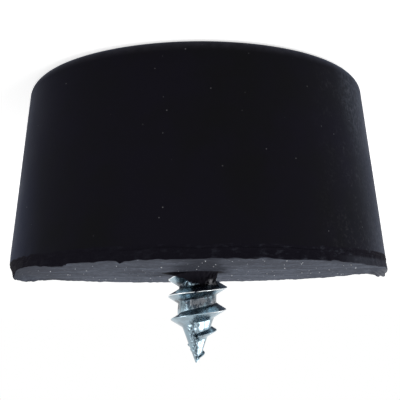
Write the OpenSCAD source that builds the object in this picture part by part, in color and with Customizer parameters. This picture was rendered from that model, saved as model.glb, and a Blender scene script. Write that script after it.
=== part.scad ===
// Round moulded rubber foot, tapered towards the floor, with a captive steel washer
// and the self-tapping screw that fixes it under a cabinet or a bench box.
// The foot stands on its narrow end: z = 0 is the floor face, and the wide mounting
// face is at z = foot_h with the screw's point standing out of it.

/* [Foot] */
// Diameter of the mounting face, without its moulding flash
base_d = 30; // [27.5:0.5:44]
// Diameter of the floor end, as if its edge were still sharp
floor_d = 27; // [24:0.1:29.6]
// Height from the floor face to the mounting face
foot_h = 15; // [12.5:0.5:20]
// Rounding radius of the floor edge
floor_edge_r = 1; // [0.5:0.1:3]
// Height of the band of flash round the mounting face
flash_h = 0.75; // [0.2:0.05:1]
// How far the flash stands proud of the side
flash_out = 0.08; // [0.02:0.01:0.2]

/* [Well] */
// Diameter of the well that takes the screw head and the driver
well_d = 12; // [10:0.5:16]
// Depth of the well, from the floor face to the washer
well_depth = 9.1; // [6.5:0.1:9.5]
// Rounding radius of the well's mouth
well_mouth_r = 0.5; // [0.2:0.1:1]

/* [Washer] */
// How far the rubber laps under the washer's rim all round
washer_lap = 1; // [0.5:0.1:2]
// Thickness of the washer
washer_t = 1.2; // [0.8:0.1:1.6]
// Clearance on radius between the washer's hole and the thread
washer_clearance = 0.25; // [0.1:0.05:0.5]

/* [Screw] */
// Diameter over the thread
thread_d = 4.8; // [4:0.1:6]
// Diameter of the screw's core, between the turns of thread
core_d = 3.05; // [2.4:0.05:3.6]
// Rise of one turn of the right-hand thread
pitch = 1.75; // [1.4:0.05:2.2]
// Length from under the head to the tip
screw_l = 13; // [12:0.1:20]
// Diameter of the pan head
head_d = 9.5; // [8:0.1:11]
// Height of the pan head
head_h = 3.6; // [3:0.1:4.2]
// Rounding radius of the head's outer edge
head_edge_r = 2.2; // [1:0.1:2.8]
// Included angle of the point
point_angle = 40; // [35:1:60]
// Diameter of the blunt end of the point
tip_d = 0.24; // [0.1:0.02:0.4]
// Distance from the tip over which the thread grows to its full diameter
thread_taper_l = 4; // [3:0.1:6]
// Length of the point over which the thread is sheared off one side
shear_l = 2.9; // [1:0.1:3.3]
// Clearance on radius between the rubber's bore and the thread
bore_clearance = 0.1; // [0.05:0.05:0.4]

/* [Cross recess] */
// Span of the recess across its wings, at the head's face
recess_d = 4.8; // [3.6:0.1:5.4]
// Span of the recess at its floor
recess_floor_d = 2.4; // [1.6:0.1:3.2]
// Width of each wing
recess_wing_w = 1.3; // [0.8:0.1:1.6]
// Depth of the recess
recess_depth = 2.4; // [1.5:0.1:2.8]

/* [Hidden] */

// A cut runs this far past the surface it opens
cut = 0.1;

// Foot: the side is a straight taper from the floor edge to the mounting face
side_angle = atan((base_d - floor_d) / 2 / foot_h);
function side_r(z) = floor_d / 2 + z * tan(side_angle);
floor_edge_x = side_r(floor_edge_r) - floor_edge_r / cos(side_angle);

// Washer: captive in a groove that its own sizes set
washer_d = well_d + 2 * washer_lap;
washer_hole_d = thread_d + 2 * washer_clearance;
bore_d = thread_d + 2 * bore_clearance;

// Thread: one ridge wound on the core, with this width of crest
crest_w = 0.06;
thread_depth = (thread_d - core_d) / 2;
// The ridge's root lies this deep inside the core, but never nearer the axis than root_min_r
root_sink = 0.25;
root_min_r = 0.05;
// Angle between the ridge's flanks: steeper where a deep thread would otherwise let
// neighbouring turns come nearer than root_gap at their roots
flank_angle_max = 60;
root_gap = 0.04;
flank_angle = min(flank_angle_max, 2 * atan((pitch - crest_w - root_gap) / 2 / (thread_depth + root_sink)));
point_l = (core_d - tip_d) / 2 / tan(point_angle / 2);
// The ridge starts this far under the head and stops this far short of the tip
thread_start = 0.9;
tip_gap = 0.35;
// Radius that the crest's taper would have at the tip
tip_crest_r = 0.25;
// Sections in one turn of the ridge
turn_steps = 24;
thread_steps = floor((screw_l - tip_gap - thread_start) / pitch * turn_steps);
// Angle round the axis at which the ridge starts under the head
start_turn = -6;
// The sheared side of the point: the angle that it faces, and the angle that it spans
shear_turn = -25;
shear_span = 130;

// Radius of the core at height z above the head's bearing face
function core_r(z) = min(core_d / 2, tip_d / 2 + max(0, screw_l - z) * tan(point_angle / 2));

// Radius of the crest: full on the shank, falling towards the tip, and growing
// from nothing over the first half turn under the head
function crest_r(z) =
    let (full = thread_d / 2,
         at_tip = tip_crest_r + (full - tip_crest_r) * (screw_l - z) / thread_taper_l,
         run_in = (z - thread_start) / (pitch / 2),
         at_head = core_d / 2 - root_sink / 2 + (thread_depth + root_sink / 2) * run_in)
    min(full, at_tip, at_head);

// Whether the thread is sheared off at height z and this angle round the axis
function is_sheared(z, angle) = z > screw_l - shear_l && cos(angle - shear_turn) > cos(shear_span / 2);

// Angle round the axis of the ridge's section at step k
function step_angle(k) = start_turn + 360 * k / turn_steps;

// Four corners of the ridge's section at step k, as [radius, height] pairs: the two
// root corners lie inside the core so that the ridge and core join, and the whole
// section does where the thread is sheared off
function ridge_section(k) =
    let (z = thread_start + pitch * k / turn_steps,
         crest = is_sheared(z, step_angle(k)) ? core_r(z) - root_sink / 2 : crest_r(z),
         reach = (crest - core_r(z) + root_sink) * tan(flank_angle / 2),
         root = max(root_min_r, core_r(z + reach) - root_sink),
         half_root = crest_w / 2 + max(0, crest - root) * tan(flank_angle / 2))
    [[root, z - half_root], [crest, z - crest_w / 2], [crest, z + crest_w / 2], [root, z + half_root]];

// Turns a [radius, height] pair into a point at the given angle
function turned(p, angle) = [p[0] * cos(angle), p[0] * sin(angle), p[1]];

module rubber_profile() {
    well_r = well_d / 2;
    polygon([
        [well_r + well_mouth_r, 0],
        [floor_edge_x, 0],
        [floor_edge_x + floor_edge_r * cos(side_angle), floor_edge_r * (1 - sin(side_angle))],
        [side_r(foot_h - flash_h), foot_h - flash_h],
        [base_d / 2 + flash_out, foot_h - flash_h + flash_out],
        [base_d / 2 + flash_out, foot_h],
        [bore_d / 2, foot_h],
        [bore_d / 2, well_depth + washer_t],
        [washer_d / 2, well_depth + washer_t],
        [washer_d / 2, well_depth],
        [well_r, well_depth],
        [well_r, well_mouth_r],
        [well_r + well_mouth_r, well_mouth_r]
    ]);
    translate([floor_edge_x, floor_edge_r]) circle(floor_edge_r, $fn = 48);
    translate([well_r + well_mouth_r, well_mouth_r]) circle(well_mouth_r, $fn = 32);
}

module rubber_foot() {
    color([0.08, 0.08, 0.09])
    rotate_extrude($fn = 120) rubber_profile();
}

module washer() {
    color([0.72, 0.73, 0.75])
    translate([0, 0, well_depth])
    difference() {
        cylinder(h = washer_t, d = washer_d, $fn = 96);
        translate([0, 0, -cut]) cylinder(h = washer_t + 2 * cut, d = washer_hole_d, $fn = 64);
    }
}

// Head and core in one turned blank, with the bearing face at z = 0
module screw_blank() {
    rotate_extrude($fn = 96) {
        polygon([
            [0, -head_h],
            [head_d / 2 - head_edge_r, -head_h],
            [head_d / 2, -head_h + head_edge_r],
            [head_d / 2, 0],
            [core_d / 2, 0],
            [core_d / 2, screw_l - point_l],
            [tip_d / 2, screw_l],
            [0, screw_l]
        ]);
        intersection() {
            translate([head_d / 2 - head_edge_r, -head_h + head_edge_r]) circle(head_edge_r, $fn = 64);
            translate([0, -head_h]) square([head_d / 2, head_h]);
        }
    }
}

// The cross recess narrows towards its floor
module cross_recess() {
    intersection() {
        translate([0, 0, -head_h - cut])
        cylinder(h = recess_depth + cut, d1 = recess_d, d2 = recess_floor_d, $fn = 48);
        union() {
            for (turn = [0, 90])
                rotate([0, 0, turn])
                translate([0, 0, -head_h + recess_depth / 2])
                cube([2 * recess_d, recess_wing_w, recess_depth + 2 * cut], center = true);
        }
    }
}

// The thread as one closed ridge, its section carried up a right-hand helix
module thread_ridge() {
    points = [
        for (k = [0 : thread_steps])
        for (corner = ridge_section(k))
        turned(corner, step_angle(k))
    ];
    sides = [
        for (k = [0 : thread_steps - 1])
        for (c = [0 : 3])
        let (a = 4 * k + c, b = 4 * k + (c + 1) % 4)
        each [[a, b, a + 4], [b, b + 4, a + 4]]
    ];
    last = 4 * thread_steps;
    ends = [[2, 1, 0], [3, 2, 0], [last, last + 1, last + 2], [last, last + 2, last + 3]];
    polyhedron(points = points, faces = concat(sides, ends), convexity = 10);
}

module screw() {
    color([0.78, 0.8, 0.83])
    translate([0, 0, well_depth])
    difference() {
        union() {
            screw_blank();
            thread_ridge();
        }
        cross_recess();
    }
}

rubber_foot();
washer();
screw();
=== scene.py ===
"""Looks of a round moulded rubber foot with a captive washer and a tapping screw.

The file is laid out as an add-on: properties hold the sizes and colours, one operator makes each
piece, one makes the stage, and a panel lists them. Run as a script, main() builds the whole scene
round the loaded frame: the foot stands on its floor face at z = 0, with the wide mounting face and
the screw's point up. The left is +X and the near side is -Y. Lengths are in metres.
"""

import math

import bpy
import numpy as np
from bpy.props import FloatProperty, FloatVectorProperty, IntProperty, PointerProperty
from mathutils import Matrix, Vector


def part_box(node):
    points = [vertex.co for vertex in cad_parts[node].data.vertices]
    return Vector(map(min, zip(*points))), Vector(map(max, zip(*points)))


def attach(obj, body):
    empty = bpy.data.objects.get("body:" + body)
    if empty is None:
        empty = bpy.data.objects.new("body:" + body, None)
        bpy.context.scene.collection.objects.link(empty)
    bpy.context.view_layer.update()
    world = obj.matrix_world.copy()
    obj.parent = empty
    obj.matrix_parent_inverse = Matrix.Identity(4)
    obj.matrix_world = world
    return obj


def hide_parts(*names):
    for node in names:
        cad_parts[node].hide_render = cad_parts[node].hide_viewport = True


bl_info = {
    "name": "Rubber Foot",
    "version": (1, 0, 0),
    "blender": (4, 5, 0),
    "location": "3D View > Sidebar > Rubber Foot",
    "description": "Builds a moulded rubber foot with its washer, tapping screw and studio",
    "category": "Add Mesh",
}

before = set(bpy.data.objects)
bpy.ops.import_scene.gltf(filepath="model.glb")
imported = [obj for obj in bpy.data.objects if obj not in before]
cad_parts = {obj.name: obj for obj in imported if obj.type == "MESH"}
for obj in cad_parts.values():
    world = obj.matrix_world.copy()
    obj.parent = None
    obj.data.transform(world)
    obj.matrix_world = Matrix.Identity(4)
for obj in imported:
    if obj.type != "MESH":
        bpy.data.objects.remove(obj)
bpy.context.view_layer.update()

MM = 0.001
_, BODY_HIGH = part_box("rubber_foot")
WASHER_LOW, WASHER_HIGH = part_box("washer")
SCREW_LOW, SCREW_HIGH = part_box("screw")

# Regions of the rubber body, each with its own look
SIDE, FLASH, FACE, WELL, COLLAR, GRIT = range(6)


# Properties


def length(name, description, default, low, high):
    """A length, given in millimetres and kept in metres."""
    return FloatProperty(
        name=name, description=description, default=default * MM, min=low * MM, max=high * MM,
        precision=5, subtype="DISTANCE", unit="LENGTH",
    )


def angle(name, description, degrees, low, high):
    """An angle, given in degrees and kept in radians."""
    return FloatProperty(
        name=name, description=description, default=math.radians(degrees),
        min=math.radians(low), max=math.radians(high), subtype="ANGLE", unit="ROTATION",
    )


def whole(name, description, default, low, high):
    """A whole number."""
    return IntProperty(name=name, description=description, default=default, min=low, max=high)


def level(name, description, default, **kind):
    """A number from 0 upwards."""
    return FloatProperty(name=name, description=description, default=default, min=0, **kind)


def colour(name, description, default):
    """A linear colour."""
    return FloatVectorProperty(
        name=name, description=description, default=default, min=0, max=1, size=3, subtype="COLOR",
    )


class FootSizes(bpy.types.PropertyGroup):
    """Sizes of the rubber body. Its height comes from the frame."""

    height: length("Height", "From the floor face to the mounting face", BODY_HIGH.z / MM, 12, 20)
    flash_out: length("Flash out", "How far the flash stands proud of the side", 0.08, 0, 0.2)
    flash_height: length("Flash height", "Height of the band of flash", 0.75, 0.2, 1)
    flap_height: length("Flap height", "How far a torn flap of flash stands up", 0.14, 0, 0.5)
    burr_height: length("Burr height", "How far the flash stands up at either side", 0.38, 0, 0.5)
    burr_lean: length("Burr lean", "How far the left burr leans inwards", 0.42, 0, 0.6)
    groove_depth: length("Groove depth", "Depth of the crease under the flash", 0.025, 0, 0.2)
    floor_diameter: length("Floor diameter", "Floor end, as if its edge were sharp", 27, 24, 30)
    floor_edge: length("Floor edge", "Rounding radius of the floor edge", 1, 0.5, 3)
    washer_lap: length("Washer lap", "How far the rubber laps under the washer", 1, 0.5, 2)
    well_mouth: length("Well mouth", "Rounding radius of the well's mouth", 0.5, 0.2, 1)
    bore_diameter: length("Bore diameter", "Hole that the screw stands in", 5, 4, 6.5)
    collar_height: length("Collar height", "How far torn rubber climbs the screw", 0.95, 0, 1.2)
    collar_wall: length("Collar wall", "Thickness of that rubber at its foot", 0.2, 0.1, 0.5)
    grains: whole("Grains", "Grains of grit on the face", 90, 1, 300)
    tear_width: length("Tear width", "How far the bore's mouth is torn wider", 0.58, 0, 1.5)
    tear_depth: length("Tear depth", "Depth of the torn mouth", 0.5, 0, 1)
    columns: whole("Columns", "Steps round the body", 640, 64, 640)


class ScrewSizes(bpy.types.PropertyGroup):
    """Sizes of the tapping screw. Its head and tip lie where the frame has them."""

    head_height: length("Head height", "Height of the pan head", 3.6, 3, 4.2)
    head_edge: length("Head edge", "Rounding radius of the head", 2.2, 1, 2.8)
    thread_diameter: length("Thread diameter", "Over the thread's crests", 4.8, 4, 6)
    core_diameter: length("Core diameter", "Between the turns of thread", 3.05, 2.4, 3.6)
    pitch: length("Pitch", "Rise of one right-hand turn", 1.75, 1.4, 2.2)
    crest_width: length("Crest width", "Flat on top of the thread", 0.06, 0.02, 0.2)
    flank_angle: angle("Flank angle", "Included angle of the thread's flanks", 60, 40, 70)
    thread_start: length("Thread start", "From the head to the thread's run-in", 0.9, 0.5, 2)
    start_turn: angle("Start turn", "Angle round the axis at which the thread starts", -6, -180, 180)
    point_angle: angle("Point angle", "Included angle of the point", 40, 35, 60)
    tip_diameter: length("Tip diameter", "Blunt end of the point", 0.24, 0.1, 0.4)
    tip_crest: length("Tip crest", "Crest radius that the taper would have at the tip", 0.25, 0, 1)
    taper_length: length("Taper length", "Over which the thread grows from the tip", 4, 3, 6)
    shear_length: length("Shear length", "Length of point with thread sheared off", 2.9, 1, 3.3)
    shear_turn: angle("Shear turn", "Angle that the sheared side faces", -25, -180, 180)
    shear_span: angle("Shear span", "Angle that the sheared side spans", 130, 30, 170)
    lean: length("Lean", "How far the screw leans to the left beyond the rubber", 0.17, -0.5, 0.5)
    recess_span: length("Recess span", "Cross recess at the head's face", 4.8, 3.6, 5.4)
    recess_floor: length("Recess floor", "Cross recess at its floor", 2.4, 1.6, 3.2)
    recess_wing: length("Recess wing", "Width of each wing", 1.3, 0.8, 1.6)
    recess_depth: length("Recess depth", "Depth of the cross recess", 2.4, 1.5, 2.8)
    columns: whole("Columns", "Steps in one turn", 96, 24, 96)


class FootColours(bpy.types.PropertyGroup):
    """Linear colours of the finishes, some of them painted highlights, sheen and shade."""

    rubber: colour("Rubber", "Moulded side of the body", (0.0075, 0.0073, 0.0083))
    rubber_blue: colour("Rubber bloom", "Bluish patches of the moulded side", (0.0080, 0.0073, 0.0110))
    # A painted sheen: bluer and paler rubber near the left silhouette.
    rubber_violet: colour("Rubber cast", "Violet cast on the left of the side", (0.009, 0.0098, 0.020))
    # A painted highlight along the rounded floor edge, paler in patches.
    rubbed: colour("Rubbed edge", "Rubber rubbed paler along the floor edge", (0.034, 0.033, 0.041))
    flash: colour("Flash", "Torn band round the mounting face", (0.0072, 0.0066, 0.0103))
    face: colour("Face", "Cut mounting face", (0.040, 0.043, 0.056))
    # Partly pale scuffing of the cut face and partly painted reflection at the grazing view; also the
    # colour of the painted sheen on the right of the side.
    face_pale: colour("Pale face", "Scuffed patches of the mounting face", (0.123, 0.138, 0.175))
    # Partly a real smudge and partly painted shade from the screw, on the face in front of it.
    smear: colour("Smear", "Dark smear on the mounting face", (0.022, 0.024, 0.033))
    # Real powder grains, and also the colour of painted light: a sheen along the right silhouette and a
    # highlight on the face's edge furthest right.
    dust: colour("Dust", "Grains of dust on the rubber", (0.42, 0.42, 0.44))
    grit: colour("Grit", "Mineral grains on the mounting face", (0.62, 0.64, 0.68))
    zinc: colour("Zinc", "Bright zinc plate", (0.36, 0.48, 0.55))
    # Paler along the crests of the thread.
    zinc_worn: colour("Worn zinc", "Polished crests of the thread", (0.8, 0.85, 0.88))
    # Darker between the turns of thread.
    zinc_root: colour("Root zinc", "Duller plate between the turns", (0.165, 0.225, 0.26))
    zinc_brown: colour("Brown zinc", "Brownish patches between the turns", (0.15, 0.16, 0.175))
    zinc_dull: colour("Dull zinc", "Dark marks at the root and along the scar", (0.035, 0.05, 0.065))
    steel: colour("Steel", "Plain stamped washer", (0.42, 0.43, 0.45))
    floor: colour("Floor", "Studio floor", (0.8, 0.8, 0.8))


class StageSettings(bpy.types.PropertyGroup):
    """Camera and lamps. The camera looks along +Y and is rolled by half a turn."""

    camera_distance: length("Camera distance", "From the foot's axis", 62.82, 40, 200)
    camera_side: length("Camera side", "Sideways from the foot's axis", -0.244, -10, 10)
    camera_height: length("Camera height", "Above the floor", 18.722, 5, 60)
    camera_pitch: angle("Camera pitch", "How far it looks down", 8.841, -10, 40)
    camera_roll: angle("Camera roll", "Turn about its own line of sight", 179.228, 0, 360)
    lens: level("Lens", "Focal length on the camera's sensor", 69.27, unit="CAMERA")
    sky: level("Sky", "Level of the soft light all round", 0.4, max=1)
    key_power: level("Key power", "Lamp above the near right", 0.25, unit="POWER")
    edge_power: level("Edge power", "Lamp at the right", 0.25, unit="POWER")
    fill_power: level("Fill power", "Lamp at the left", 0.2, unit="POWER")


# Surfaces


def ripples(points, wavelength, seed, count=48):
    """Random ripples at an array of points: the sum of count plane waves through space, each the
    cosine of (wave vector . point + phase) with one wavelength in millimetres, a random direction
    and a random phase, scaled to a spread of one."""
    rng = np.random.default_rng(seed)
    heading = rng.normal(size=(3, count))
    heading *= math.tau / (wavelength * MM) / np.linalg.norm(heading, axis=0)
    phase = rng.uniform(0, math.tau, count)
    return np.cos(points @ heading + phase).sum(-1) / math.sqrt(count / 2)


def smooth_step(low, high, values):
    """Rises from 0 at low to 1 at high as 3 t^2 - 2 t^3."""
    t = np.clip((values - low) / (high - low), 0, 1)
    return t * t * (3 - 2 * t)


def between(rise, fall, values):
    """Rises smoothly from 0 to 1 over one pair of values and falls back to 0 over the other."""
    return smooth_step(*rise, values) * (1 - smooth_step(*fall, values))


def bell(values, middle, width):
    """A bell curve: exp(-((value - middle) / width)^2)."""
    return np.exp(-(((values - middle) / width) ** 2))


def around(radii, heights, angles):
    """Points of a surface round the z axis: (r cos a, r sin a, z) for each radius, height and angle."""
    radii, heights, angles = np.broadcast_arrays(radii, heights, angles)
    return np.stack([radii * np.cos(angles), radii * np.sin(angles), heights], axis=-1)


def scene_object(name, data):
    """An object in the scene, at the origin."""
    thing = bpy.data.objects.new(name, data)
    bpy.context.scene.collection.objects.link(thing)
    return thing


def mesh_object(name, points, faces, regions=None, sharp_degrees=35):
    """A smooth object from an array of points and a list of each face's corners. Its regions give
    each face a material, and edges sharper than the angle stay sharp."""
    mesh = bpy.data.meshes.new(name)
    mesh.from_pydata(points, [], faces)
    if regions is not None:
        mesh.polygons.foreach_set("material_index", regions.astype(np.int32))
    mesh.polygons.foreach_set("use_smooth", np.ones(len(faces), bool))
    mesh.set_sharp_from_angle(angle=math.radians(sharp_degrees))
    mesh.update()
    return scene_object(name, mesh)


# Rubber body

# The lip's rounding radius, and the width of the crease under the flash
LIP_BEND, CREASE_WIDTH = 0.08 * MM, 0.16 * MM
# How far in from the lip the mounting face's close rows of points start and its wide rows end
CLOSE_ROWS, WIDE_ROWS = 1.1 * MM, 1.2 * MM
# Rows up the collar's inner wall, down its outer wall and out over the bore's torn mouth
COLLAR_ROWS = 6, 8, 6


def body_strips(sizes):
    """The body's section as strips of rows, each with its region, radii and heights. It runs up and
    down the collar, out along the mounting face, over the lip, down the flash, the crease and the
    straight tapered side, round the floor edge by an arc, in along the floor face, round the well's
    mouth by an arc, up the well, round the washer's groove and up the bore."""
    height = sizes.height
    base = BODY_HIGH.x - sizes.flash_out
    floor = sizes.floor_diameter / 2
    bore = sizes.bore_diameter / 2
    well = WASHER_HIGH.x - sizes.washer_lap
    mouth = sizes.well_mouth
    taper = math.atan((base - floor) / height)
    edge = sizes.floor_edge
    edge_centre = floor + edge * math.tan(taper) - edge / math.cos(taper)
    crease = height - sizes.flash_height

    def side_radius(z):
        return floor + z * math.tan(taper)

    quarter = np.linspace(0, math.pi / 2, 6)[1:]
    lip = BODY_HIGH.x - LIP_BEND
    flash_z = np.linspace(height - LIP_BEND * 1.3, crease + 0.05 * MM, 12)
    proud = sizes.flash_out * smooth_step(crease - 0.3 * MM, height, flash_z)
    dip = np.linspace(0, 1, 7)
    dip_z = crease + CREASE_WIDTH * (0.3 - dip)
    side_z = np.linspace(dip_z[-1] - 0.1 * MM, edge * (1 - math.sin(taper)), 30)
    floor_bend = np.linspace(-taper, math.pi / 2, 13)[1:]
    strips = [
        *((COLLAR, np.full(rows, bore), height) for rows in COLLAR_ROWS),
        (FACE, np.linspace(bore, lip - WIDE_ROWS, 22), height),
        (FACE, np.linspace(lip - CLOSE_ROWS, lip, 12), height),
        (FLASH, lip + LIP_BEND * np.sin(quarter), height - LIP_BEND * (1 - np.cos(quarter))),
        (FLASH, side_radius(flash_z) + proud, flash_z),
        (FLASH, side_radius(dip_z) - sizes.groove_depth * np.sin(math.pi * dip), dip_z),
        (SIDE, side_radius(side_z), side_z),
        (SIDE, edge_centre + edge * np.cos(floor_bend), edge * (1 - np.sin(floor_bend))),
        (SIDE, np.linspace(edge_centre, well + mouth, 7)[1:], 0),
        (SIDE, well + mouth - mouth * np.sin(quarter), mouth * (1 - np.cos(quarter))),
        (WELL, well, np.linspace(mouth, WASHER_LOW.z, 6)[1:]),
        (WELL, WASHER_HIGH.x, [WASHER_LOW.z, WASHER_HIGH.z]),
        (WELL, np.linspace(WASHER_HIGH.x, bore, 4)[1:], WASHER_HIGH.z),
        (WELL, bore, np.linspace(WASHER_HIGH.z, height, 7)[1:-1]),
    ]
    return [(region, *np.broadcast_arrays(radii, heights)) for region, radii, heights in strips]


# Nicks in the rim: angle in degrees, width and depth in millimetres
RIM_NICKS = (
    (-54, 0.10, 0.10),
    (-94, 0.60, 0.06),
    (-99, 0.30, 0.09),
    (-107, 0.50, 0.08),
    (-128, 0.40, 0.07),
)
# Middles of the damaged patches in degrees round the foot, and the angles from there over which the
# marks on them rise and fall
LEFT_PATCH, RIGHT_PATCH, COLLAR_PATCH = -28, -146, -105
FLAP = (-27.5, -26.2), (-23, -13)
LEFT_BURR = (-10, 22), (30, 61)
RIGHT_BURR = (-21, -29), (-34, -51)
# The collar's clearance from the screw, its thinnest wall, and the width of the skirt round it
CLEARANCE, THINNEST, SKIRT = 0.03 * MM, 0.04 * MM, 0.6 * MM


def turn_from(angles, centre):
    """Angles measured from a centre, each from minus to plus half a turn."""
    return (angles - centre + math.pi) % math.tau - math.pi


def degrees_from(angles, centre):
    """The same in degrees, from a centre in degrees."""
    return np.degrees(turn_from(angles, math.radians(centre)))


def rim_damage(angles, radius, strays, seed):
    """Depth of the nicks round the rim: the deepest at each angle of several bell curves,
    depth * exp(-(arc from the nick / width)^2), for the listed nicks and for random strays."""
    rng = np.random.default_rng(seed)
    turn, width, depth = np.array(RIM_NICKS).T
    turn = np.concatenate([np.radians(turn), rng.uniform(0, math.tau, strays)])
    width = np.concatenate([width, rng.uniform(0.15, 0.5, strays)]) * MM
    depth = np.concatenate([depth, rng.uniform(0.02, 0.07, strays)]) * MM
    away = turn_from(angles[:, None], turn)
    return (depth * bell(away * radius, 0, width)).max(-1)


def lip_rise(angles, flap, burr):
    """How far the lip of flash stands above the mounting face at each angle: a low ragged wave, a
    flap with one torn end on the left, with a small tooth and a worn stretch beside it, a lower
    swelling on the right, and a burr at either side that falls away towards the back."""
    ring = around(BODY_HIGH.x, 0.0, angles)
    left, right = degrees_from(angles, LEFT_PATCH), degrees_from(angles, RIGHT_PATCH)
    ragged = 0.012 * MM * ripples(ring, 0.6, 31) + 0.010 * MM * ripples(ring, 1.6, 32)
    raised = between(*FLAP, left) + 0.8 * bell(right, 0, 15)
    burrs = between(*LEFT_BURR, left) + between(*RIGHT_BURR, right)
    burrs = burr * burrs * (1 + 0.12 * ripples(ring, 0.8, 36))
    tooth = 0.14 * MM * bell(left, -43, 0.7)
    worn = 0.07 * MM * bell(left, -11, 7)
    return flap * raised - worn + tooth + burrs + ragged


def add_collar(points, strips, angles, sizes, screw):
    """Pulls the bore's edge into a ragged collar of torn rubber that climbs the screw's root.

    The rubber closes on the screw over a window of angles on the right and stands off it at the
    bore's radius on the left. Its top rises by the collar height times a narrower window. The inner
    wall lies just clear of the screw where the rubber has closed, and the outer wall stands off it by
    a thickness that thins upwards. On the near side a skirt of torn rubber lies round it. On the left
    the bore's mouth is torn wider, by a bell curve of angle, and slopes up from a pit to the mounting
    face, which is stretched to meet it.
    """
    bore, height = sizes.bore_diameter / 2, sizes.height
    offset = degrees_from(angles, COLLAR_PATCH)
    climbs = smooth_step(-72, -35, offset) * np.clip((88 - offset) / 66, 0, 1) ** 1.3
    closed = between((-140, -110), (10, 60), offset)
    torn, skirt = bell(offset, 67, 32), bell(offset, -10, 38)
    ring = around(bore, height, angles)
    ragged = 1 + 0.10 * ripples(ring, 1.1, 33) + 0.05 * ripples(ring, 0.35, 34)
    top = 0.02 * MM + sizes.collar_height * climbs * ragged
    near = np.maximum(closed, climbs)

    def clear_of_screw(z):
        shank = thread_radius(z, angles, screw)[0]
        return bore + (np.minimum(shank + CLEARANCE, bore) - bore) * near

    rows_in, rows_out, rows_mouth = COLLAR_ROWS
    rise_in = np.linspace(0, 1, rows_in)[:, None]
    rise_out = 1 - np.linspace(0, 1, rows_out + 1)[1:, None] ** 0.8
    pit = height - 0.02 * MM - sizes.tear_depth * torn
    z_in, z_out = pit + rise_in * (height + top - pit), pit + rise_out * (height + top - pit)
    wall = (THINNEST + sizes.collar_wall * climbs) * (1 - 0.6 * rise_out)
    lumps = np.clip(ripples(around(bore, z_out, angles), 0.4, 35), -1.5, 1.5)
    r_out = clear_of_screw(z_out) + wall * (1 + 0.25 * lumps)
    slope = np.linspace(0, 1, rows_mouth + 1)[1:, None]
    r_mouth = r_out[-1] + slope * (THINNEST + (sizes.tear_width * torn + SKIRT * skirt) * ragged)
    face = strips[len(COLLAR_ROWS)][1]
    outwards = np.linspace(0, 1, len(face) + 1)[1:, None] ** 1.6
    r_face = r_mouth[-1] + (face[-1] - r_mouth[-1]) * outwards
    first, second, third, fourth = np.cumsum([*COLLAR_ROWS, len(face)])
    points[:first] = around(clear_of_screw(z_in), z_in, angles)
    points[first:second] = around(r_out, z_out, angles)
    points[second:third] = around(r_mouth, pit + (height - pit) * slope**0.7, angles)
    points[third:fourth] = around(r_face, points[third:fourth, :, 2], angles)


def body_surface(sizes, screw):
    """Points and strip regions of the body: its section turned round z, then worn. The flash waves
    in and out, nicks lower its lip and a flap and burrs raise it, the burr on the left leans inwards,
    and the crease under it wanders up and down. The mounting face has shallow hollows, the moulded
    side faint ones, and the bore's edge is pulled up into a collar."""
    strips = body_strips(sizes)
    regions = np.concatenate([np.full(len(radii), region) for region, radii, _ in strips])
    r, z = (np.concatenate([strip[part] for strip in strips])[:, None] for part in (1, 2))
    angles = np.linspace(0, math.tau, sizes.columns, endpoint=False)
    lip = BODY_HIGH.x
    plain = around(r, z, angles)
    ring = around(lip, sizes.height, angles)
    torn = np.clip(0.4 + 0.3 * ripples(ring, 2.6, 11) + 0.25 * ripples(ring, 0.7, 12), 0, 1)
    nick = rim_damage(angles, lip, strays=26, seed=13)
    rise = lip_rise(angles, sizes.flap_height, sizes.burr_height) - nick
    left = degrees_from(angles, 0)
    bent = between((-34, -18), (10, 34), left)

    crease = sizes.height - sizes.flash_height
    on_face = (regions == FACE)[:, None]
    outside = r > WASHER_HIGH.x
    on_side = (regions == SIDE)[:, None] & outside
    in_flash = smooth_step(crease, crease + 0.3 * MM, z) * (r > lip - 0.33 * MM)
    near_rim = smooth_step(lip - 0.85 * MM, lip - 0.12 * MM, r) * smooth_step(crease, sizes.height, z)
    near_crease = between((crease - 0.8 * MM, crease), (crease, crease + 0.5 * MM), z)
    leaning = smooth_step(lip - 1.6 * MM, lip - 0.1 * MM, r)
    leaning *= smooth_step(-0.95 * MM, 0.1 * MM, z - sizes.height)

    new_r = r - in_flash * (sizes.flash_out * torn + nick * 0.5) - leaning * sizes.burr_lean * bent
    new_r -= in_flash * 0.014 * MM * np.abs(ripples(plain, 0.3, 15))
    new_r -= on_side * 0.003 * MM * (1.5 + np.clip(ripples(plain, 8, 16), -1.5, 1.5))
    new_z = z + near_rim * rise
    new_z -= on_face * 0.007 * MM * np.clip(1 + ripples(plain, 0.9, 17), 0, 3)
    wander = 0.022 * MM * ripples(ring, 3.4, 18) + 0.010 * MM * ripples(ring, 0.9, 19)
    wander += 0.04 * MM * ripples(ring, 1.1, 20) * bell(left, -45, 30)
    wander += 0.26 * MM * bell(left, -18, 22)
    new_z += near_crease * outside * wander
    points = around(new_r, new_z, angles)
    add_collar(points, strips, angles, sizes, screw)
    return points, regions


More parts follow.
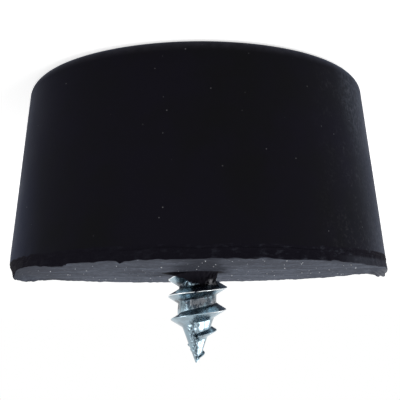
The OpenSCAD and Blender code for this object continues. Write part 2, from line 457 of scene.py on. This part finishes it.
def grit(sizes, seed):
    """Points and triangles of grains that lie on the mounting face, spread evenly over the ring
    between the collar and the lip. Each is an icosahedron, whose corners are (0, 1, golden ratio)
    with either sign and rolled round the axes, with every corner pushed in or out at random."""
    rng, count = np.random.default_rng(seed), sizes.grains
    golden = (1 + math.sqrt(5)) / 2
    arms = np.array([(0, a, b * golden) for a in (-1, 1) for b in (-1, 1)])
    corners = np.concatenate([np.roll(arms, turn, axis=1) for turn in range(3)]) / math.hypot(1, golden)
    triples = [(i, j, k) for i in range(12) for j in range(i + 1, 12) for k in range(i + 1, 12)]
    triples = np.array(triples)
    a, b, c = corners[triples].transpose(1, 0, 2)
    longest = np.max([np.linalg.norm(side, axis=1) for side in (a - b, b - c, c - a)], axis=0)
    edge = 2 / math.hypot(1, golden)
    outward = (np.cross(b - a, c - a) * a).sum(1) > 0
    triangles = triples[(longest < 1.01 * edge) & outward]
    radius = (0.022 + 0.05 * rng.uniform(0, 1, (count, 1, 1)) ** 3) * MM
    lumps = corners * radius * rng.uniform(0.7, 1.2, (count, 12, 1))
    inner, outer = 3.4 * MM, BODY_HIGH.x - 0.7 * MM
    out = np.sqrt(rng.uniform(inner**2, outer**2, count))
    centres = around(out, sizes.height, rng.uniform(0, math.tau, count))
    centres[:, 2] += 0.3 * radius[:, 0, 0]
    faces = triangles + 12 * np.arange(count)[:, None, None]
    return (lumps + centres[:, None]).reshape(-1, 3), faces.reshape(-1, 3)


def grid_corners(quad_rows, rows, columns):
    """The corners of a grid's quads round the axis, in turn from the lower left. With as many rows
    of quads as of points the grid closes both ways."""
    row, column = np.meshgrid(np.arange(quad_rows), np.arange(columns), indexing="ij")
    above, beside = (row + 1) % rows * columns, (column + 1) % columns
    return row * columns + column, row * columns + beside, above + beside, above + column


# Screw

# Where the thread was bent along the screw: how many turns up the helix, and how far towards the
# tip in millimetres
THREAD_BENDS = (3.0, 0.22), (4.0, -0.20), (5.0, -0.06), (5.5, -0.10)
# The fillet at the thread's root, how far under the core its crest lies where it's torn off, and
# how far from the tip it ends
FILLET, SUNK, THREAD_END = 0.05 * MM, 0.1 * MM, 0.35 * MM
# Masks that the screw carries at its points for its look
MASKS = "thread_depth", "scar", "smooth"


def bearing_height(sizes):
    """Height of the face by which the screw's head bears on the washer."""
    return SCREW_LOW.z + sizes.head_height


def foot_height(sizes):
    """Height at which the crest of the thread would cross the angle 0."""
    return bearing_height(sizes) + sizes.thread_start - sizes.pitch * sizes.start_turn / math.tau


def thread_radius(z, angles, sizes):
    """Radius of the threaded shank at each height and angle, the share of the thread's depth there,
    and masks of the scar along the sheared side's edges and of the smooth side between them.

    The core is a cylinder that ends in a cone. One right-hand ridge runs up it: the nearest crest to
    a height z lies where (z - foot height) / pitch - angle / turn is whole, and the ridge falls from
    it on both sides at the flank angle. The crest grows over half a turn next to the head and tapers
    towards the tip. A smooth maximum of ridge and core leaves a small fillet at the root.
    """
    tip = SCREW_HIGH.z
    core_full, crest_full = sizes.core_diameter / 2, sizes.thread_diameter / 2
    slope = math.tan(sizes.point_angle / 2)
    core = np.minimum(core_full, sizes.tip_diameter / 2 + np.maximum(0, tip - z) * slope)
    turns = (z - foot_height(sizes)) / sizes.pitch - angles / math.tau
    wound = np.rint(turns) + angles / math.tau
    bends = sum(shift * MM * bell(wound, turn, 0.2) for turn, shift in THREAD_BENDS)
    off = (turns - np.rint(turns)) * sizes.pitch - bends
    crest_z = z - off
    at_tip = sizes.tip_crest + (crest_full - sizes.tip_crest) * (tip - crest_z) / sizes.taper_length
    run_in = (crest_z - bearing_height(sizes) - sizes.thread_start) / (sizes.pitch / 2)
    at_head = core_full + (crest_full - core_full) * run_in
    crest = np.minimum(np.minimum(crest_full, at_tip), at_head)
    torn = math.radians(8) * ripples(around(crest_full, z, angles), 0.45, 21)
    off_scar = np.abs(turn_from(angles + torn, sizes.shear_turn)) - sizes.shear_span / 2
    sheared = (crest_z > tip - sizes.shear_length) & (off_scar < 0)
    crest = np.where(sheared | (crest_z > tip - THREAD_END), core - SUNK, crest)
    flank = np.maximum(0, np.abs(off) - sizes.crest_width / 2) / math.tan(sizes.flank_angle / 2)
    ridge = crest - flank
    radius = (core + ridge + np.hypot(core - ridge, FILLET)) / 2
    depth = np.clip((crest_full - radius) / (crest_full - core_full), 0, 1)
    on_point = smooth_step(tip - sizes.shear_length - 0.8 * MM, tip - sizes.shear_length, z)
    scar = on_point * bell(off_scar, math.radians(-9), math.radians(15))
    smooth = on_point * smooth_step(math.radians(-18), math.radians(-34), off_scar)
    return radius, depth, scar, smooth


def cross_radius(span, wing, angles):
    """Radius of a cross-shaped outline at each angle: the further of two crossed bars, each the
    nearer of its end at half the span and its side at half the wing, inside a circle."""
    tiny = 1e-9
    cosine, sine = (np.maximum(np.abs(wave(angles)), tiny) for wave in (np.cos, np.sin))
    one = np.minimum(span / 2 / cosine, wing / 2 / sine)
    other = np.minimum(span / 2 / sine, wing / 2 / cosine)
    return np.minimum(np.maximum(one, other), span / 2)


def head_rows(sizes, angles):
    """Rows of (radius, height) from the recess floor out over the head to the core: the recess floor
    and its leaning walls follow a cross, and the rows then blend to circles on the head's face."""
    face, bearing, head = SCREW_LOW.z, bearing_height(sizes), SCREW_HIGH.x
    floor = face + sizes.recess_depth
    edge = sizes.head_edge
    flat = head - edge
    low = cross_radius(sizes.recess_floor, sizes.recess_wing, angles)
    high = cross_radius(sizes.recess_span, sizes.recess_wing, angles)
    rows = [(low * t, floor) for t in (0.4, 0.8, 1)]
    rows += [(low + (high - low) * t, floor + (face - floor) * t) for t in (0.33, 0.66, 1)]
    rows += [(high + (flat - high) * t, face) for t in (0.25, 0.5, 0.75, 1)]
    rows += [(flat + edge * math.sin(a), face + edge * (1 - math.cos(a)))
             for a in np.linspace(0, math.pi / 2, 13)[1:]]
    rows += [(head, bearing - 0.7 * MM), (head, bearing), (head * 0.8, bearing), (head * 0.55, bearing)]
    return rows


def screw_surface(sizes):
    """Points of the screw, row by row from the recess floor to the tip, and its three finish masks.

    On the shank a row rises by pitch / columns, so the crest of the thread runs along the diagonals
    of the grid. Ripples roughen the root and the scar, nicks dull the crest, and the point leans.
    """
    angles = np.linspace(0, math.tau, sizes.columns, endpoint=False)
    tip, foot, rise = SCREW_HIGH.z, foot_height(sizes), sizes.pitch / sizes.columns
    first = math.ceil((bearing_height(sizes) - foot) / rise)
    z = np.append(foot + rise * np.arange(first, math.floor((tip - foot) / rise)), tip)[:, None]
    radius, depth, scar, smooth = thread_radius(z, angles, sizes)
    plain = around(radius, z, angles)
    rooted = smooth_step(0.5, 0.95, depth) * smooth_step(3.2 * MM, 4.0 * MM, tip - z) * (1 - smooth)
    crest = 1 - smooth_step(0, 0.25, depth)
    radius += rooted * 0.012 * MM * ripples(plain * (1, 1, 0.45), 0.34, 22)
    radius += scar * 0.03 * MM * ripples(plain, 0.30, 25)
    radius -= (1 - rooted) * (1 - smooth) * 0.003 * MM * np.abs(ripples(plain, 0.4, 23))
    radius -= crest * 0.04 * MM * smooth_step(1.3, 2.2, ripples(plain, 0.8, 24))
    shank = around(np.maximum(radius, 0.02 * MM), z, angles)
    shank[..., 0] += sizes.lean * smooth_step(tip - 6.8 * MM, tip - 3.2 * MM, z)
    head = np.stack([around(r, h, angles) for r, h in head_rows(sizes, angles)])
    plated = [np.concatenate([np.full(head.shape[:2], fill), mask])
              for fill, mask in ((1, depth), (0, scar), (0, smooth))]
    return np.concatenate([head, shank]), dict(zip(MASKS, plated))


def capped_faces(rows, columns):
    """Corners of the triangles of a grid that closes round the axis, with a fan at each end. Point
    number rows * columns is the first row's centre, and the next is the last row's. Each quad is
    split from its lower left to its upper right, along the way a right-hand thread rises."""
    a, b, c, d = grid_corners(rows - 1, rows, columns)
    ring = np.arange(columns)
    turned, last = (ring + 1) % columns, (rows - 1) * columns
    low, high = np.full(columns, rows * columns), np.full(columns, rows * columns + 1)
    triangles = ((a, b, c), (a, c, d), (low, turned, ring), (high, last + ring, last + turned))
    return np.concatenate([np.stack(corners, -1).reshape(-1, 3) for corners in triangles])


# Materials. The sizes and places of their textures are in millimetres


def add_node(tree, kind, inputs=(), **settings):
    """A shader node with its settings, and each input set to a value or linked from a socket."""
    node = tree.nodes.new("ShaderNode" + kind)
    for name, value in settings.items():
        setattr(node, name, value)
    for name, value in dict(inputs).items():
        if isinstance(value, bpy.types.NodeSocket):
            tree.links.new(value, node.inputs[name])
        else:
            node.inputs[name].default_value = value
    return node


def fed_node(kind, inputs, **settings):
    """A node in the tree that its linked inputs come from."""
    linked = (value for value in inputs.values() if isinstance(value, bpy.types.NodeSocket))
    return add_node(next(linked).id_data, kind, inputs, **settings)


def empty_tree(owner):
    """The node tree of a material or a world, emptied."""
    owner.use_nodes = True
    owner.node_tree.nodes.clear()
    return owner.node_tree


def painted(look, colours):
    """A material named after its look. A look is a function that gives the inputs of a Principled
    shader from the object coordinates and the colours."""
    material = bpy.data.materials.new(look.__name__)
    tree = empty_tree(material)
    where = add_node(tree, "TexCoord").outputs["Object"]
    shader = add_node(tree, "BsdfPrincipled", look(where, colours))
    add_node(tree, "OutputMaterial", {"Surface": shader.outputs[0]})
    return material


def bump(relief, depth):
    """Normals bumped by relief from 0 to 1 and a depth."""
    return fed_node("Bump", {"Height": relief, "Distance": depth * MM}).outputs["Normal"]


def stretched(where, *scale):
    """A place with scaled axes, which draws a texture out along those with small scales."""
    return fed_node("Mapping", {"Vector": where, "Scale": scale}).outputs["Vector"]


def noise(where, size, detail=2.0, roughness=0.5, distortion=0.0):
    """Noise from about 0.3 to 0.7 with features of the given size."""
    inputs = {"Vector": where, "Scale": 1 / (size * MM), "Detail": detail, "Roughness": roughness,
              "Distortion": distortion}
    return fed_node("TexNoise", inputs).outputs["Fac"]


def remap(value, low, high, to_low=0.0, to_high=1.0):
    """A value mapped from one range to another, smoothly and clamped."""
    inputs = {"Value": value, "From Min": low, "From Max": high, "To Min": to_low, "To Max": to_high}
    node = fed_node("MapRange", inputs, interpolation_type="SMOOTHSTEP", clamp=True)
    return node.outputs["Result"]


def combine(operation, first, *others):
    """Values put through a Math operation, from left to right."""
    for other in others:
        first = fed_node("Math", {0: first, 1: other}, operation=operation).outputs["Value"]
    return first


def times(*values):
    """The product of some values."""
    return combine("MULTIPLY", *values)


def largest(*values):
    """The largest of some values."""
    return combine("MAXIMUM", *values)


def blend(factor, first, second):
    """A mix of two colours, each a linear triple or a socket."""
    first, second = (
        tint if isinstance(tint, bpy.types.NodeSocket) else (*tint, 1) for tint in (first, second))
    return fed_node("Mix", {0: factor, 6: first, 7: second}, data_type="RGBA").outputs[2]


def specks(where, spacing, radius):
    """Scattered round grains: 0 outside a radius round random points, and 1 inside 0.4 of it."""
    inputs = {"Vector": where, "Scale": 1 / (spacing * MM), "Randomness": 1.0}
    distance = fed_node("TexVoronoi", inputs).outputs["Distance"]
    return remap(distance, radius / spacing, radius / spacing * 0.4)


def along(where, axis, low, high):
    """0 to 1 between two places along an axis."""
    parts = fed_node("SeparateXYZ", {"Vector": where})
    return remap(parts.outputs[axis], low * MM, high * MM)


def radial(where, centre, scale):
    """Distance from a centre, both in metres, with each axis scaled."""
    for operation, other in (("SUBTRACT", centre), ("MULTIPLY", scale)):
        where = fed_node("VectorMath", {0: where, 1: other}, operation=operation).outputs[0]
    return fed_node("VectorMath", {0: where}, operation="LENGTH").outputs["Value"]


def dust_film(where):
    """Strength of the fine powder: clouds of it on the right, and an even pale film furthest right,
    which is a painted sheen along the right edge.
    """
    cloud = remap(noise(where, 1.6, 3, 0.6), 0.40, 0.62)
    dusty_side = times(along(where, "X", -7.5, -11), cloud)
    powder = remap(noise(where, 0.25, 3, 0.7), 0.48, 0.72, 0, 0.05)
    # A painted sheen: an even pale film along the right silhouette.
    furthest = times(along(where, "X", -13.2, -14.6), 0.03)
    return combine("ADD", times(powder, dusty_side), furthest)


def pale_streak(where):
    """Strength of a painted sheen, a mottled pale streak on the right of the near side: it follows the
    taper and is strongest towards the floor, and a patch of it lies further right near the mounting
    face."""
    taper = {"Vector": where, "Rotation": (0, math.atan(0.15), 0)}
    right = along(fed_node("Mapping", taper).outputs["Vector"], "X", -9.6, -11.0)
    low = times(right, remap(along(where, "Z", 9.5, 2.5), 0, 1, 0.30, 1))
    high = times(along(where, "Z", 9, 13), along(where, "X", -11.6, -13.2), 0.68)
    mottled = remap(noise(where, 0.34, 4, 0.7), 0.40, 0.64, 0.036, 0.22)
    return times(largest(low, high), along(where, "Y", 9, -1), mottled)


def moulded_rubber(where, colours):
    """Smooth moulded rubber with a low soft gloss and a fine grain: bluish in patches, with a painted
    violet sheen on the left near the mounting face, a painted sheen in a mottled pale streak and clouds
    of powder on the right, a painted sheen furthest right, a painted highlight along the floor edge,
    and sparse pale grains."""
    grain = noise(where, 0.22, 3, 0.6)
    gloss = remap(noise(where, 3.2, 3), 0.35, 0.65, 0.36, 0.42)
    showing = remap(noise(where, 4, 2), 0.42, 0.58, 0.08, 0.3)
    skin = blend(remap(noise(where, 9, 3, 0.7), 0.35, 0.65), colours.rubber, colours.rubber_blue)
    # Where the painted violet sheen lies: near the left silhouette, towards the mounting face.
    left_sheen_area = times(along(where, "X", 10.5, 13.5), along(where, "Z", 5, 12))
    # Noise for the patches of the painted highlight along the floor edge.
    scuffs_and_highlights = remap(noise(where, 0.6, 4, 0.6), 0.3, 0.65, 0.45, 1)
    for mask, tint in (
        # Painted violet sheen on the left.
        (left_sheen_area, colours.rubber_violet),
        # Painted sheen on the right, in the pale face colour.
        (pale_streak(where), colours.face_pale),
        # Painted highlight along the floor edge.
        (times(along(where, "Z", 1.0, 0.15), scuffs_and_highlights), colours.rubbed),
        # Real powder grains and clouds, and a painted sheen furthest right.
        (largest(times(specks(where, 1.0, 0.055), showing), dust_film(where)), colours.dust),
    ):
        skin = blend(mask, skin, tint)
    return {
        "Base Color": skin,
        "Roughness": combine("ADD", gloss, times(grain, 0.14)),
        "Specular IOR Level": 0.006,
        "Specular Tint": (0.80, 0.87, 1.0, 1),
        "Sheen Weight": 0.11,
        "Sheen Roughness": 0.35,
        "Sheen Tint": (0.36, 0.52, 1.0, 1),
        "Normal": bump(grain, 0.005),
    }


def flash_rubber(where, colours):
    """The flash: near-black torn rubber with small pits and grey patches. Towards the right there
    are more of them, and the flash is grey along its top."""
    top = BODY_HIGH.z / MM
    grey_patch = remap(noise(stretched(where, 0.6, 0.6, 1.4), 0.45, 5, 0.65), 0.50, 0.72)
    with_patches = times(grey_patch, remap(along(where, "X", 12, -14), 0, 1, 0.1, 0.6))
    upper_right = times(along(where, "Z", top - 0.55, top - 0.3), along(where, "X", -9, -11.5))
    grey = largest(with_patches, times(upper_right, remap(grey_patch, 0, 1, 0.55, 1.0)))
    return {
        "Base Color": blend(grey, colours.flash, colours.face),
        "Roughness": 0.7,
        "Specular IOR Level": 0.01,
        "Normal": bump(noise(where, 0.16, 3, 0.6), 0.05),
    }


def scuffed(where, scuffs_and_highlights, fine):
    """How pale the mounting face is, from real scuffing and from painted reflection at the grazing
    view: in streaks along Y and bands along X, and weaker on the left, behind the middle on the
    right, and towards the near edge."""
    marks = times(remap(scuffs_and_highlights, 0.35, 0.63, 0.42, 1.12), remap(fine, 0.35, 0.65, 0.75, 1.1))
    streaks = remap(noise(stretched(where, 1, 0.2, 1), 0.30, 3, 0.6), 0.35, 0.65, 0.7, 1.2)
    bands = remap(noise(stretched(where, 0.24, 1, 1), 1.4, 3, 0.65), 0.38, 0.62, 0.62, 1.32)
    left = times(along(where, "X", 7.5, 13), 0.6)
    right = times(along(where, "X", -6.5, -9.5), along(where, "Y", -5, -1), 0.32)
    near_to_far = remap(along(where, "Y", -16, 6), 0, 1, 0.42, 1.1)
    bright = times(combine("SUBTRACT", 1.0, largest(left, right)), near_to_far)
    return times(marks, times(streaks, bands), bright)


def beside_smear(where, fine):
    """0 on a dark patch from the bore to the near edge, partly a smudge and partly painted shade from
    the screw, with ragged sides and a few specks, and 1 beside and behind it."""
    ragged = times(noise(where, 1.4, 4, 0.6), 3 * MM)
    away = combine("ADD", radial(where, (-0.2 * MM, -2 * MM, 0), (1, 0.12, 0)), ragged)
    beside = remap(away, 2.7 * MM, 4.1 * MM)
    return largest(along(where, "Y", -0.5, 1.5), remap(fine, 0.45, 0.62, 0, 0.3), beside)


def cut_rubber(where, colours):
    """The mounting face: dull rubber, pale from scuffing and from painted reflection, with a dark patch
    that is partly a smudge and partly painted shade from the screw, pale grains, and a painted
    highlight on the burr's edge furthest right."""
    scuffs_and_highlights, fine = noise(where, 0.9, 6, 0.7), noise(where, 0.22, 3, 0.6)
    clean = blend(scuffed(where, scuffs_and_highlights, fine), colours.face, colours.face_pale)
    # The dark patch in front of the screw: partly a smudge, partly painted shade.
    with_patches = blend(beside_smear(where, fine), colours.smear, clean)
    # A painted highlight on the face's edge furthest right, mixed below with the pale grains.
    right_rim_highlight = times(along(where, "X", -14.1, -14.7), remap(scuffs_and_highlights, 0.4, 0.6, 0.05, 0.3))
    grains = largest(times(specks(where, 0.8, 0.10), 0.5), right_rim_highlight)
    return {
        "Base Color": blend(grains, with_patches, colours.dust),
        "Roughness": 0.85,
        "Specular IOR Level": 0.04,
        "Normal": bump(fine, 0.03),
    }


def well_rubber(where, colours):
    """The well and the bore: plain matt moulded rubber."""
    grain = noise(where, 0.3, 2)
    return {
        "Base Color": blend(grain, colours.rubber, colours.flash),
        "Roughness": 0.6,
        "Specular IOR Level": 0.06,
        "Normal": bump(grain, 0.004),
    }


def collar_rubber(where, colours):
    """The collar: black torn rubber, grey and mottled at one place."""
    cluster = radial(where, (-1.05 * MM, -1.5 * MM, 16.0 * MM), (1, 0.4, 1))
    cluster = remap(cluster, 0.55 * MM, 0.25 * MM)
    grey_mottling = times(remap(noise(where, 0.3, 3, 0.6), 0.42, 0.56), cluster)
    return {
        "Base Color": blend(grey_mottling, colours.rubber_blue, colours.dust),
        "Roughness": 0.7,
        "Specular IOR Level": 0.04,
        "Normal": bump(noise(where, 0.25, 4, 0.6), 0.06),
    }


def pale_grit(where, colours):
    """Grit: pale mineral grains, each a little different."""
    mixed = remap(noise(where, 0.5, 2), 0.35, 0.65)
    dark = [0.5 * part for part in colours.grit]
    return {"Base Color": blend(mixed, colours.grit, dark), "Roughness": 0.5}


def zinc_plate(where, colours):
    """Zinc-plated steel: smooth on the thread's flanks and the sheared side of the point, paler along
    the crest, darker with drawn-out dark marks at the root except on the point, and dark and torn
    along the scar."""
    tip = SCREW_HIGH.z / MM
    depth, scar, smooth = (
        add_node(where.id_data, "Attribute", attribute_name=name).outputs["Fac"] for name in MASKS)
    marks = noise(stretched(where, 1, 1, 0.4), 0.30, 4, 0.6, 0.8)
    haze = noise(where, 0.9, 3, 0.5)
    shank = along(where, "Z", tip - 3.9, tip - 4.4)
    rooted = times(remap(depth, 0.35, 0.9), combine("SUBTRACT", 1.0, smooth), shank)
    dull = largest(times(remap(marks, 0.46, 0.57), rooted), times(remap(marks, 0.36, 0.52), scar))
    hazed = largest(remap(haze, 0.35, 0.7, 0, 0.5), times(smooth, 0.4), rooted)
    metal = blend(remap(haze, 0.45, 0.60), colours.zinc_root, colours.zinc_brown)
    metal = blend(hazed, colours.zinc, metal)
    metal = blend(remap(depth, 0.10, 0.02), metal, colours.zinc_worn)
    return {
        "Base Color": blend(dull, metal, colours.zinc_dull),
        "Metallic": 1.0,
        "Roughness": remap(noise(where, 0.1, 3, 0.6), 0.35, 0.65, 0.14, 0.28),
        "Normal": bump(times(marks, largest(rooted, scar)), 0.04),
    }


def washer_steel(where, colours):
    """Plain stamped steel with faint rolling marks along X."""
    marks = noise(stretched(where, 0.08, 1, 1), 0.12, 3)
    stain = remap(noise(where, 2, 3), 0.4, 0.65)
    dark = [0.7 * part for part in colours.steel]
    return {
        "Base Color": blend(stain, colours.steel, dark),
        "Metallic": 1.0,
        "Roughness": remap(marks, 0.3, 0.7, 0.3, 0.5),
        "Normal": bump(marks, 0.003),
    }


# Stage

# The floor's radius, number of corners and height, and its glow
FLOOR_RADIUS, FLOOR_CORNERS, FLOOR_HEIGHT, FLOOR_GLOW = 4.0, 64, -0.01 * MM, 0.70
# Width of the camera's sensor in millimetres
SENSOR_WIDTH = 36
# Side of the lamps, the place that they face, and where they stand
LAMP_SIZE, LAMP_TARGET = 0.14, (0, 0, BODY_HIGH.z * 0.7)
LAMP_PLACES = {"key": (-0.143, -0.143, 0.18), "edge": (-0.22, 0.03, 0.13), "fill": (0.22, -0.10, 0.07)}


def seen_directly(tree):
    """1 for camera, glossy and transmission rays, 0 for the rest."""
    rays = add_node(tree, "LightPath").outputs
    return largest(*(rays[f"Is {kind} Ray"] for kind in ("Camera", "Glossy", "Transmission")))


def white_world(sky):
    """A world that shows white and lights the object at the sky's level."""
    world = bpy.data.worlds.new("studio_white")
    tree = empty_tree(world)
    soft, white = (
        add_node(tree, "Background", {"Color": (1, 1, 1, 1), "Strength": strength}).outputs[0]
        for strength in (sky, 1.0))
    mix = add_node(tree, "MixShader", {0: seen_directly(tree), 1: soft, 2: white})
    add_node(tree, "OutputWorld", {"Surface": mix.outputs[0]})
    bpy.context.scene.world = world


def floor_material(colours):
    """Matt white floor that shows near white and keeps the object's shadow."""
    material = bpy.data.materials.new("studio_floor")
    tree = empty_tree(material)
    matt = add_node(tree, "BsdfDiffuse", {"Color": (*colours.floor, 1)})
    inputs = {"Color": (1, 1, 1, 1), "Strength": times(seen_directly(tree), FLOOR_GLOW)}
    glow = add_node(tree, "Emission", inputs)
    both = add_node(tree, "AddShader", {0: matt.outputs[0], 1: glow.outputs[0]})
    add_node(tree, "OutputMaterial", {"Surface": both.outputs[0]})
    return material


def soft_lamp(name, watts, position):
    """A square area lamp that the camera doesn't see."""
    data = bpy.data.lights.new(name, "AREA")
    data.energy, data.shape, data.size = watts, "SQUARE", LAMP_SIZE
    lamp = scene_object(name, data)
    lamp.location = position
    lamp.rotation_euler = (Vector(LAMP_TARGET) - Vector(position)).to_track_quat("-Z", "Y").to_euler()
    lamp.visible_camera = False


def floor_disc(material):
    """A round floor just under the foot: a fan of triangles round its centre."""
    count = FLOOR_CORNERS
    ring, turns = np.arange(count), np.linspace(0, math.tau, count, endpoint=False)
    points = np.concatenate([around(FLOOR_RADIUS, FLOOR_HEIGHT, turns), [(0, 0, FLOOR_HEIGHT)]])
    fan = np.stack([np.full(count, count), ring, (ring + 1) % count], -1)
    floor = mesh_object("studio_floor", points, fan.tolist())
    floor.data.materials.append(material)
    return floor


def studio_camera(stage):
    """A camera in front of the foot that looks down a little and is rolled upside down."""
    data = bpy.data.cameras.new("studio_camera")
    data.lens, data.sensor_width = stage.lens, SENSOR_WIDTH
    data.clip_start, data.clip_end = 1 * MM, 50
    camera = scene_object("studio_camera", data)
    position = Vector((stage.camera_side, -stage.camera_distance, stage.camera_height))
    look = Matrix.Rotation(math.pi / 2 - stage.camera_pitch, 4, "X")
    roll = Matrix.Rotation(stage.camera_roll, 4, "Z")
    camera.matrix_world = Matrix.Translation(position) @ look @ roll
    bpy.context.scene.camera = camera


# Operators


class FOOT_OT_rubber_body(bpy.types.Operator):
    """Build the moulded rubber body and hide the plain one"""

    bl_idname = "foot.rubber_body"
    bl_label = "Rubber Body"

    def execute(self, context):
        sizes, colours = context.scene.foot_sizes, context.scene.foot_colours
        points, regions = body_surface(sizes, context.scene.screw_sizes)
        rows, columns = points.shape[:2]
        a, b, c, d = grid_corners(rows, rows, columns)
        skin = np.stack([a, d, c, b], axis=-1).reshape(-1, 4)
        grains, grain_faces = grit(sizes, seed=41)
        vertices = np.concatenate([points.reshape(-1, 3), grains])
        faces = skin.tolist() + (grain_faces + rows * columns).tolist()
        kinds = np.append(np.repeat(regions, columns), np.full(len(grain_faces), GRIT))
        body = mesh_object("rubber_body", vertices, faces, kinds)
        for look in (moulded_rubber, flash_rubber, cut_rubber, well_rubber, collar_rubber, pale_grit):
            body.data.materials.append(painted(look, colours))
        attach(body, "root")
        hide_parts("rubber_foot")
        return {"FINISHED"}


class FOOT_OT_tapping_screw(bpy.types.Operator):
    """Build the zinc-plated tapping screw and hide the plain one"""

    bl_idname = "foot.tapping_screw"
    bl_label = "Tapping Screw"

    def execute(self, context):
        points, masks = screw_surface(context.scene.screw_sizes)
        rows, columns = points.shape[:2]
        ends = [points[0].mean(0), points[-1].mean(0)]
        vertices = np.concatenate([points.reshape(-1, 3), ends])
        screw = mesh_object("zinc_screw", vertices, capped_faces(rows, columns).tolist())
        for name, mask in masks.items():
            layer = screw.data.attributes.new(name, "FLOAT", "POINT")
            ends_too = np.append(mask.ravel(), [mask[0].mean(), mask[-1].mean()])
            layer.data.foreach_set("value", ends_too.astype(np.float32))
        screw.data.materials.append(painted(zinc_plate, context.scene.foot_colours))
        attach(screw, "root")
        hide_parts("screw")
        return {"FINISHED"}


class FOOT_OT_washer_finish(bpy.types.Operator):
    """Give the captive washer its steel"""

    bl_idname = "foot.washer_finish"
    bl_label = "Washer Finish"

    def execute(self, context):
        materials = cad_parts["washer"].data.materials
        materials.clear()
        materials.append(painted(washer_steel, context.scene.foot_colours))
        return {"FINISHED"}


class FOOT_OT_studio_stage(bpy.types.Operator):
    """Set the floor, the white surround, the lamps and the camera"""

    bl_idname = "foot.studio_stage"
    bl_label = "Studio Stage"

    def execute(self, context):
        scene, stage = context.scene, context.scene.stage_settings
        scene.view_settings.view_transform = "Standard"
        white_world(stage.sky)
        floor_disc(floor_material(scene.foot_colours))
        for name, position in LAMP_PLACES.items():
            soft_lamp(f"{name}_lamp", getattr(stage, f"{name}_power"), position)
        studio_camera(stage)
        return {"FINISHED"}


class FOOT_PT_sidebar(bpy.types.Panel):
    """The foot's sizes, colours and operators in the 3D view's sidebar"""

    bl_idname = "FOOT_PT_sidebar"
    bl_label = "Rubber Foot"
    bl_space_type = "VIEW_3D"
    bl_region_type = "UI"
    bl_category = "Rubber Foot"

    def draw(self, context):
        layout = self.layout
        for operator in OPERATORS:
            layout.operator(operator.bl_idname)
        for title, (group_name, group) in GROUPS.items():
            box = layout.box()
            box.label(text=title)
            for name in group.__annotations__:
                box.prop(getattr(context.scene, group_name), name)


OPERATORS = (FOOT_OT_rubber_body, FOOT_OT_washer_finish, FOOT_OT_tapping_screw, FOOT_OT_studio_stage)
GROUPS = {
    "Foot": ("foot_sizes", FootSizes),
    "Screw": ("screw_sizes", ScrewSizes),
    "Colours": ("foot_colours", FootColours),
    "Stage": ("stage_settings", StageSettings),
}


def register():
    for name, group in GROUPS.values():
        bpy.utils.register_class(group)
        setattr(bpy.types.Scene, name, PointerProperty(type=group))
    for operator in OPERATORS:
        bpy.utils.register_class(operator)
    bpy.utils.register_class(FOOT_PT_sidebar)


def unregister():
    bpy.utils.unregister_class(FOOT_PT_sidebar)
    for operator in reversed(OPERATORS):
        bpy.utils.unregister_class(operator)
    for name, group in reversed(GROUPS.values()):
        delattr(bpy.types.Scene, name)
        bpy.utils.unregister_class(group)


def main():
    """Builds every piece and the stage."""
    register()
    for operator in OPERATORS:
        category, name = operator.bl_idname.split(".")
        getattr(getattr(bpy.ops, category), name)()


if __name__ == "__main__":
    main()
